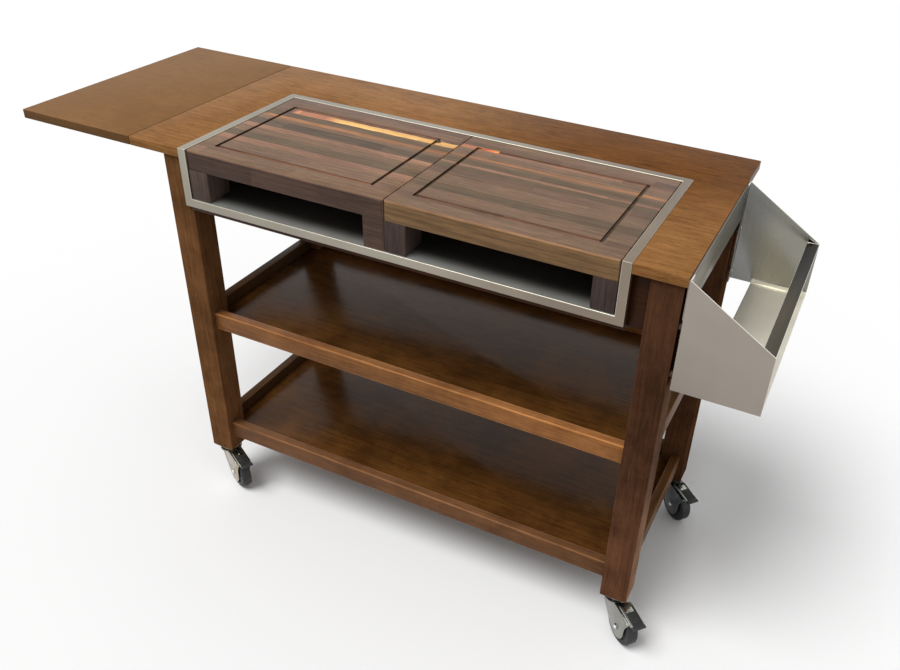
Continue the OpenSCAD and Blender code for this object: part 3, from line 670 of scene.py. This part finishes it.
# bright steel for the tray's folds and the rack's cut edges: a painted highlight
bend_highlight_steel = brushed("bend_highlight_steel", "x", "b9b4a6", roughness=0.42, contrast=0.5)
edge_highlight_steel = brushed("edge_highlight_steel", "x", "ece9e0", roughness=0.2, contrast=0.1)
print("steels:", sum("steel" in m.name for m in bpy.data.materials))

# %% [markdown]
# ## Castor finishes
#
# The forks and pedals are chrome plated, the tyres are black rubber with a little dust,
# and the pedal pads are black rubber too. Plating is a mirror, so each fork gets a painted
# reflection: the tone of what stands on its own side, and a dark one in the trolley's shade at the
# rear right.

# %% Chrome and rubber
def chrome_plate(name, code, roughness):
    """Bright plating with faint haze."""
    material, tree, shader, place = material_of(name)
    haze = noise(tree, place["Object"], 60.0, 4.0)[0]
    colour = mixed(tree, remapped(tree, haze, 0.4, 0.7, 0.0, 0.25), tone(code), tone("8f8f8a"))
    surfaced(tree, shader, colour, remapped(tree, haze, 0.35, 0.65, roughness, roughness + 0.08))
    shader.inputs["Metallic"].default_value = 1.0
    return material


def black_rubber(name, code, dust_code, grit_scale):
    """Matte rubber with uneven dust."""
    material, tree, shader, place = material_of(name)
    dust = noise(tree, place["Object"], 45.0, 5.0)[0]
    grit = noise(tree, place["Object"], grit_scale, 2.0)[0]
    colour = mixed(tree, remapped(tree, dust, 0.4, 0.75, 0.0, 0.5), tone(code), tone(dust_code))
    surfaced(tree, shader, colour, remapped(tree, dust, 0.3, 0.7, 0.5, 0.7), grit, 0.2, 0.0004)
    return material


castor_chrome = chrome_plate("castor_chrome", "a2a49e", 0.16)
# a near-white chrome for edges, caps and screw heads: a painted highlight
castor_chrome_highlight = chrome_plate("castor_chrome_highlight", "f4f5f3", 0.08)
# each fork's colour is a painted reflection, dark at the rear right in the trolley's shade
fork_reflection_codes = {"fl": "ada08c", "fr": "92928b", "rl": "848682", "rr": "64696b"}
fork_chrome = {corner: chrome_plate("fork_chrome_" + corner, code, 0.16)
               for corner, code in fork_reflection_codes.items()}
# the swivel plates' dark chrome is painted shade under the legs
shaded_race_steel = chrome_plate("shaded_race_steel", "4a4b49", 0.28)
spacer_brown = black_rubber("spacer_brown", "2a180e", "3a2415", 400.0)
tyre_rubber = black_rubber("tyre_rubber", "1e1e20", "3c3c3c", 900.0)
hub_plastic = black_rubber("hub_plastic", "28282a", "424240", 400.0)
pad_rubber = black_rubber("pad_rubber", "242424", "3c3c3a", 1500.0)
print("materials:", len(bpy.data.materials))

# %% [markdown]
# ## Rounded arrises
#
# No sawn or folded edge is truly sharp. Each imported node is copied, its triangles are
# merged back into flat faces, and a Bevel modifier rounds its arrises. Bevelling by hand
# would do the same, but the modifier finds every sharp edge of a piece by its angle. The
# bevel's own faces get a second material, which is paler on timber, partly where the stain is
# rubbed through and partly as a painted highlight, and brighter on metal, a painted highlight. The
# copy then stands for the node.


def only(piece):
    """Selects one object and makes it active."""
    bpy.ops.object.select_all(action="DESELECT")
    piece.select_set(True)
    bpy.context.view_layer.objects.active = piece


def twin(model):
    """A copy of an object, with its own mesh."""
    piece = model.copy()
    piece.data = model.data.copy()
    bpy.context.scene.collection.objects.link(piece)
    return piece


def copied(node):
    """A loose copy of a node, its triangles merged into flat faces."""
    piece = twin(frame["nodes"][node])
    for key in list(piece.keys()):
        del piece[key]
    piece.parent = None
    piece.name = node + "_finished"
    only(piece)
    bpy.ops.mesh.customdata_custom_splitnormals_clear()
    bpy.ops.object.mode_set(mode="EDIT")
    bpy.ops.mesh.select_all(action="SELECT")
    bpy.ops.mesh.remove_doubles(threshold=2e-5)
    bpy.ops.mesh.dissolve_limited(angle_limit=radians(0.5))
    bpy.ops.mesh.normals_make_consistent(inside=False)
    bpy.ops.object.mode_set(mode="OBJECT")
    piece.data.materials.clear()
    for polygon in piece.data.polygons:
        polygon.material_index = 0
    return piece


def rounded(piece, radius, finishes, segments=2, weight=None):
    """Rounds a piece's arrises. weight gives 0 to 1 for an edge, from its two ends."""
    for finish in finishes:
        piece.data.materials.append(finish)
    bevel = piece.modifiers.new("arris", "BEVEL")
    bevel.width = radius
    bevel.segments = segments
    bevel.limit_method = "ANGLE"
    bevel.angle_limit = radians(30)
    bevel.material = 1
    bevel.use_clamp_overlap = True
    if weight:
        bevel.limit_method = "WEIGHT"
        marks = piece.data.attributes.new("bevel_weight_edge", "FLOAT", "EDGE")
        points = piece.data.vertices
        for edge in piece.data.edges:
            marks.data[edge.index].value = weight(*(points[i].co for i in edge.vertices))
    only(piece)
    bpy.ops.object.modifier_apply(modifier=bevel.name)


def handed_in(piece, node):
    """Smooths a finished piece, lets it ride its body and stand for its node."""
    only(piece)
    bpy.ops.object.shade_smooth_by_angle(angle=radians(28))
    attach(piece, frame["nodes"][node]["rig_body"])
    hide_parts(node)


def eased(node, radius, finishes, segments=2, weight=None):
    """A node's finished piece, with its arrises rounded."""
    piece = copied(node)
    rounded(piece, radius, finishes, segments, weight)
    handed_in(piece, node)


# %% [markdown]
# ## The frame
#
# Legs, aprons and the box round the tray have crisp arrises, barely broken by
# sandpaper. The shelf rails are rounded a little more, as trays slide over them. The
# front right leg has a darker timber of its own, as in the photograph, with painted light and
# shade on its right face. The left rails and the rear right leg get darker copies of their timbers,
# which are painted shade, and the middle rails a paler copy, which is painted light. The top and the
# leaf get an arris that is kind to a hand.

# %% Frame timber
fine_arris = 0.0008
rail_arris = 0.0012
leg_finishes = {"front_left": leg_timber, "rear_left": leg_timber,
                "rear_right": shaded_far_leg_timber, "front_right": dark_leg_timber}
for side, finish in leg_finishes.items():
    eased("leg_" + side, fine_arris, finish)
for node in ("apron_left", "apron_right"):
    eased(node, fine_arris, apron_timber["y"])
for node in ("apron_rear", "apron_front_right", "tray_box_walls", "tray_box_bottom"):
    eased(node, fine_arris, apron_timber["x"])
for shelf, long_finish in (("middle", rail_timber), ("lower", low_rail_timber)):
    rail_finishes = {"front": long_finish, "rear": long_finish,
                     "left": shaded_rail_timber, "right": side_rail_timber}
    eased(shelf + "_panel", fine_arris, panel_timber)
    for side, finish in rail_finishes.items():
        eased(f"{shelf}_rail_{side}", rail_arris, finish)
print("legs:", len(leg_finishes), "shelf rails:", 2 * len(rail_finishes))

# %% Top and leaf
top_arris = 0.0014
eased("main_top", top_arris, top_timber, segments=3)
eased("drop_leaf", top_arris, leaf_timber, segments=3)
print("top arris:", 1000 * top_arris, "mm")

# %% [markdown]
# ## Boards
#
# Each board's front arris is rounded most, because hands and knives meet it there. The
# groove keeps the sharp lips that a cutter leaves. The bevel takes a weight per edge, so
# one pass can round the outside by different amounts and leave the groove alone.

# %% Boards
board_radius = 0.004  # the front arris, at full weight
groove_margin = 0.02  # the groove lies further in than this
rim = 0.01  # the outer arrises lie within this of the edge
touching = 1e-4  # an edge this close to a plane lies in it


def well_inside(point, low, high, margin):
    """Whether a point is further than a margin from all sides of a box, seen from above."""
    return low.x + margin < point.x < high.x - margin and low.y + margin < point.y < high.y - margin


def board_weights(low, high):
    """Weights for a board's edges: full on its front arris, none in its groove."""
    def weight(a, b):
        if well_inside((a + b) / 2, low, high, groove_margin):
            return 0.0
        if max(a.z, b.z) < high.z - 0.001:
            return 0.3
        if abs(a.y - low.y) < touching and abs(b.y - low.y) < touching:
            return 1.0
        return 0.4
    return weight


def finished_board(node, box, finishes):
    """A board with rounded arrises. Only its outer top arrises keep the paler arris finish, part wear
    and part painted highlight.
    """
    low, high = box
    piece = copied(node)
    rounded(piece, board_radius, finishes, 4, board_weights(low, high))
    for polygon in piece.data.polygons:
        centre = polygon.center
        if well_inside(centre, low, high, rim) or high.z - centre.z > board_radius + 0.0005:
            polygon.material_index = 0
    handed_in(piece, node)
    print(node, "has", len(piece.data.polygons), "faces")


finished_board("board_left", left_box, (left_walnut, left_worn))
finished_board("board_right", right_box, (right_walnut, right_worn))

# %% Board feet
foot_radius = 0.004
foot_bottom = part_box("board_left_feet")[0].z


def foot_weight(a, b):
    """Feet are rounded most round their bottoms."""
    return 1.0 if max(a.z, b.z) < foot_bottom + 0.001 else 0.25


for side, finish in (("left", left_foot_walnut), ("right", right_foot_walnut)):
    eased(f"board_{side}_feet", foot_radius, (finish, finish), 3, foot_weight)
print("foot radius:", 1000 * foot_radius, "mm")

# %% [markdown]
# ## Folded steel
#
# The tray is folded from sheet, so the inside of each fold toward the eye is a small
# round that catches the light, and it gets a brighter steel as a painted highlight, while the cut
# edges of the sheet are only deburred. The rack's cut edges get a painted highlight, a brighter steel
# than its faces.

# %% Steel tray
fold_radius = 0.0013
tray_floor = left_low.z
clearance = 0.002  # between the boards and the tray's walls
rim_left, rim_right = left_low.x - clearance, right_high.x + clearance
rim_back = left_high.y + clearance
in_plane = 5e-4  # an edge this close to a wall or the floor lies in it


def tray_weight(a, b):
    """Full weight on the folds between the tray's inside and its flanges."""
    middle = (a + b) / 2
    at_top = abs(middle.z - tray_high.z) < touching
    at_front = abs(middle.y - tray_low.y) < touching
    beside = min(abs(middle.x - rim_left), abs(middle.x - rim_right)) < in_plane
    behind = abs(middle.y - rim_back) < in_plane
    below = abs(middle.z - tray_floor) < in_plane
    if (at_top and (beside or behind)) or (at_front and (beside or below)):
        return 1.0
    return 0.3


tray = copied("steel_tray")
rounded(tray, fold_radius, (tray_steel, bend_highlight_steel, tray_floor_steel), 3, tray_weight)
for polygon in tray.data.polygons:
    if polygon.material_index == 0 and abs(polygon.center.z - tray_floor) < in_plane:
        polygon.material_index = 2
handed_in(tray, "steel_tray")
print("tray has", len(tray.data.polygons), "faces")

# %% Rack and brackets
sheet_edge = 0.0006  # deburred edges of the rack's sheet
for node, finish in (("rack_side_front", side_steel), ("rack_side_rear", far_side_painted_reflection_steel)):
    side = copied(node)
    rounded(side, sheet_edge, (finish, edge_highlight_steel))
    for polygon in side.data.polygons:
        if abs(polygon.normal.y) < 0.5 and polygon.normal.z > 0.3:  # the cut upper edges, with a painted highlight
            polygon.material_index = 1
    handed_in(side, node)
eased("rack_strip", 0.0005, (strip_steel, side_steel))
eased("rack_floor", sheet_edge, (floor_steel, edge_highlight_steel))
eased("rack_bar", sheet_edge, (shaded_bar_steel, edge_highlight_steel))
for node in ("bracket_fixed", "bracket_arms"):
    eased(node, 0.0004, (castor_chrome, castor_chrome_highlight))
print("bar length:", round(bar_high.y - bar_low.y, 4), "m")

# %% [markdown]
# ## Rack screws
#
# The rack hangs on four screws with a brown spacer under each. A cross recess makes a
# plain disc read as a screw. It is cut by two crossed blocks, one after the other.

# %% Screws with cross recesses
def cross_cut(piece, place, axis, reach=0.0044, width=0.0010, depth=0.0009):
    """Cuts a cross recess into a flat or domed screw head that faces along an axis."""
    for arms in ((reach, width), (width, reach)):
        size = list(arms)
        size.insert("xyz".index(axis), 2 * depth)
        bpy.ops.object.select_all(action="DESELECT")
        bpy.ops.mesh.primitive_cube_add(size=1, location=place, scale=size)
        cutter = bpy.context.active_object
        cut = piece.modifiers.new("cut", "BOOLEAN")
        cut.object = cutter
        cut.solver = "EXACT"
        only(piece)
        bpy.ops.object.modifier_apply(modifier="cut")
        bpy.data.objects.remove(cutter)


screws = copied("rack_screws")
rounded(screws, 0.0006, (castor_chrome, castor_chrome_highlight, spacer_brown))
screws_low, screws_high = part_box("rack_screws")
spacer_radius = 0.0065
for y in (screws_low.y + spacer_radius, screws_high.y - spacer_radius):
    for z in (screws_low.z + spacer_radius, screws_high.z - spacer_radius):
        cross_cut(screws, (screws_high.x, y, z), "x")
spacer_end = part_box("rack_strip")[1].x + 0.0004
for polygon in screws.data.polygons:
    if polygon.center.x < spacer_end:
        polygon.material_index = 2
handed_in(screws, "rack_screws")
print("rack screws have", len(screws.data.polygons), "faces")

# %% [markdown]
# ## Castors
#
# Plates, forks and pedals are pressed or cast and then plated, so all their edges are
# softened, and they shine with a brighter chrome, a painted highlight. Tyres, hubs and pads are
# moulded, and keep one finish all over.

# %% Castor pieces
corners = ("fl", "fr", "rl", "rr")
for corner in corners:
    eased("castor_plate_" + corner, 0.0006, (shaded_race_steel, castor_chrome))
    eased("castor_fork_" + corner, 0.0008, (fork_chrome[corner], castor_chrome_highlight))
    eased("tyre_" + corner, 0.0005, (tyre_rubber, tyre_rubber))
    eased("hub_" + corner, 0.0006, (hub_plastic, hub_plastic))
    eased("brake_pedal_" + corner, 0.0005, (castor_chrome, castor_chrome_highlight))
    eased("pedal_pad_" + corner, 0.0008, (pad_rubber, pad_rubber))
print("castors:", len(corners))

# %% [markdown]
# ## Small castor parts
#
# Up close a castor shows a domed cap on each end of its axle, ribs across the rubber
# pad, which keep a shoe from slipping, and a plated clip with a rivet that holds the
# pad's inner end. Each is modelled once, in a castor's own frame: the swivel axis stands
# at the origin and the wheel trails along +X. Copies are then turned and moved to the
# four castors, and ride on the fork or the pedal.

# %% A castor's own frame
def middle_of(node):
    """The middle of a node's box."""
    low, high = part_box(node)
    return (low + high) / 2


def trailing(corner):
    """From a castor's swivel axis to its axle."""
    return middle_of("hub_" + corner) - middle_of("castor_plate_" + corner)


trail = trailing("fr").xy.length
axle_height = middle_of("hub_fr").z
axle_head_face = 0.0205  # from the wheel's middle plane to an axle head's face
pad_slope = 0.09  # drop of the pad along its length
pad_start, pad_start_height = 0.035, 0.1051


def pad_height(along_pad):
    """Height of the pad's upper face, at a distance behind the swivel axis."""
    return pad_start_height - pad_slope * (along_pad - pad_start)


print("trail:", round(trail, 4), "m, axle height:", round(axle_height, 4), "m")

# %% Joining and copying
def joined(parts, name):
    """Several objects as one."""
    bpy.ops.object.select_all(action="DESELECT")
    for part in parts:
        part.select_set(True)
    bpy.context.view_layer.objects.active = parts[0]
    bpy.ops.object.join()
    parts[0].name = name
    return parts[0]


def mounted(piece, body):
    """Smooths an added piece and lets it ride a body."""
    only(piece)
    bpy.ops.object.transform_apply()
    bpy.ops.object.shade_smooth_by_angle(angle=radians(40))
    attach(piece, body)


def laid_at_castors(model, name, body):
    """Copies a model from the castor's own frame to the four castors, and removes it."""
    for corner in corners:
        piece = twin(model)
        piece.name = name + "_" + corner
        way = trailing(corner)
        swivel = middle_of("castor_plate_" + corner)
        piece.location = (swivel.x, swivel.y, 0)
        piece.rotation_euler = (0, 0, atan2(way.y, way.x))
        mounted(piece, body + "_" + corner)
    bpy.data.objects.remove(model)
    print(name, "faces:", len(piece.data.polygons))


# %% Axle caps
buried = 0.0002  # how deep a dome's flat side sits in its face


def dome(radius, height, place, normal):
    """A flattened half ball on a flat face."""
    bpy.ops.object.select_all(action="DESELECT")
    bpy.ops.mesh.primitive_uv_sphere_add(segments=24, ring_count=16, radius=radius, location=place)
    ball = bpy.context.active_object
    bpy.ops.object.transform_apply()
    bpy.ops.object.mode_set(mode="EDIT")
    bpy.ops.mesh.select_all(action="SELECT")
    flat = [height / radius if abs(n) > 0.5 else 1.0 for n in normal]
    bpy.ops.transform.resize(value=flat, center_override=place)
    sunk = Vector(place) - Vector(normal) * buried
    bpy.ops.mesh.bisect(plane_co=sunk, plane_no=normal, use_fill=True, clear_inner=True)
    bpy.ops.object.mode_set(mode="OBJECT")
    return ball


cap_radius, cap_height = 0.0045, 0.0018
caps = [dome(cap_radius, cap_height, (trail, side * axle_head_face, axle_height), (0, side, 0))
        for side in (-1, 1)]
axle_caps = joined(caps, "axle_caps")
axle_caps.data.materials.append(castor_chrome_highlight)
laid_at_castors(axle_caps, "axle_caps", "castor")

# %% Pad ribs
rib_first, rib_pitch, rib_count = 0.064, 0.0034, 9
rib_height, rib_width, rib_length = 0.0008, 0.0017, 0.0205
pressed_in = 0.0001  # how deep a block sits in the pad


def block_on_pad(along_pad, length, width, height, corner_radius):
    """A block with rounded edges that lies on the pad's slope."""
    place = (along_pad, 0, pad_height(along_pad) + height / 2 - pressed_in)
    bpy.ops.object.select_all(action="DESELECT")
    bpy.ops.mesh.primitive_cube_add(size=1, location=place, scale=(length, width, height))
    block = bpy.context.active_object
    block.rotation_euler = (0, atan2(pad_slope, 1), 0)
    bpy.ops.object.transform_apply()
    bpy.ops.object.mode_set(mode="EDIT")
    bpy.ops.mesh.select_all(action="SELECT")
    bpy.ops.mesh.bevel(offset=corner_radius, segments=2, affect="EDGES")
    bpy.ops.object.mode_set(mode="OBJECT")
    return block


ribs = block_on_pad(rib_first, rib_width, rib_length, rib_height, 0.0003)
row = ribs.modifiers.new("row", "ARRAY")
row.count = rib_count
row.use_relative_offset = False
row.use_constant_offset = True
row.constant_offset_displace = (rib_pitch, 0, -pad_slope * rib_pitch)
only(ribs)
bpy.ops.object.modifier_apply(modifier="row")
ribs.data.materials.append(pad_rubber)
laid_at_castors(ribs, "pad_ribs", "brake")

# %% Pad clip
clip_middle, clip_length, clip_width, clip_sheet = 0.0525, 0.014, 0.0185, 0.0008
rivet_radius, rivet_height = 0.0026, 0.0008
clip_top = pad_height(clip_middle) + clip_sheet - pressed_in
clip = block_on_pad(clip_middle, clip_length, clip_width, clip_sheet, 0.00025)
rivet = dome(rivet_radius, rivet_height, (clip_middle, 0, clip_top), (0, 0, 1))
pad_clip = joined([clip, rivet], "pad_clip")
pad_clip.data.materials.append(castor_chrome)
laid_at_castors(pad_clip, "pad_clip", "brake")

# %% [markdown]
# ## Bracket screws
#
# The leaf's two brackets are screwed up into the timber through the webs of their
# channels. The screws show from below, and from the left when the leaf hangs down. One
# domed head with a cross recess is modelled and copied to its places.

# %% Bracket screws
(arms_low, arms_high), fixed_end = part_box("bracket_arms"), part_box("bracket_fixed")[1].x
arm_half = 0.0135  # half the width of an arm
web_underside = arms_high.z - 0.002
head_radius, head_height = 0.0036, 0.0018
screw_rows = {"leaf": [arms_low.x + away for away in (0.012, 0.078, 0.144)],
              "trolley": [fixed_end - away for away in (0.012, 0.034)]}
head = dome(head_radius, head_height, (0, 0, web_underside), (0, 0, -1))
cross_cut(head, (0, 0, web_underside - head_height), "z")
head.data.materials.append(castor_chrome_highlight)
for body, places in screw_rows.items():
    copies = []
    for x in places:
        for y in (arms_low.y + arm_half, arms_high.y - arm_half):
            one = twin(head)
            one.location = (x, y, 0)
            only(one)
            bpy.ops.object.transform_apply()
            copies.append(one)
    mounted(joined(copies, "bracket_screws_" + body), body)
bpy.data.objects.remove(head)
print("bracket screws:", sum(2 * len(places) for places in screw_rows.values()))
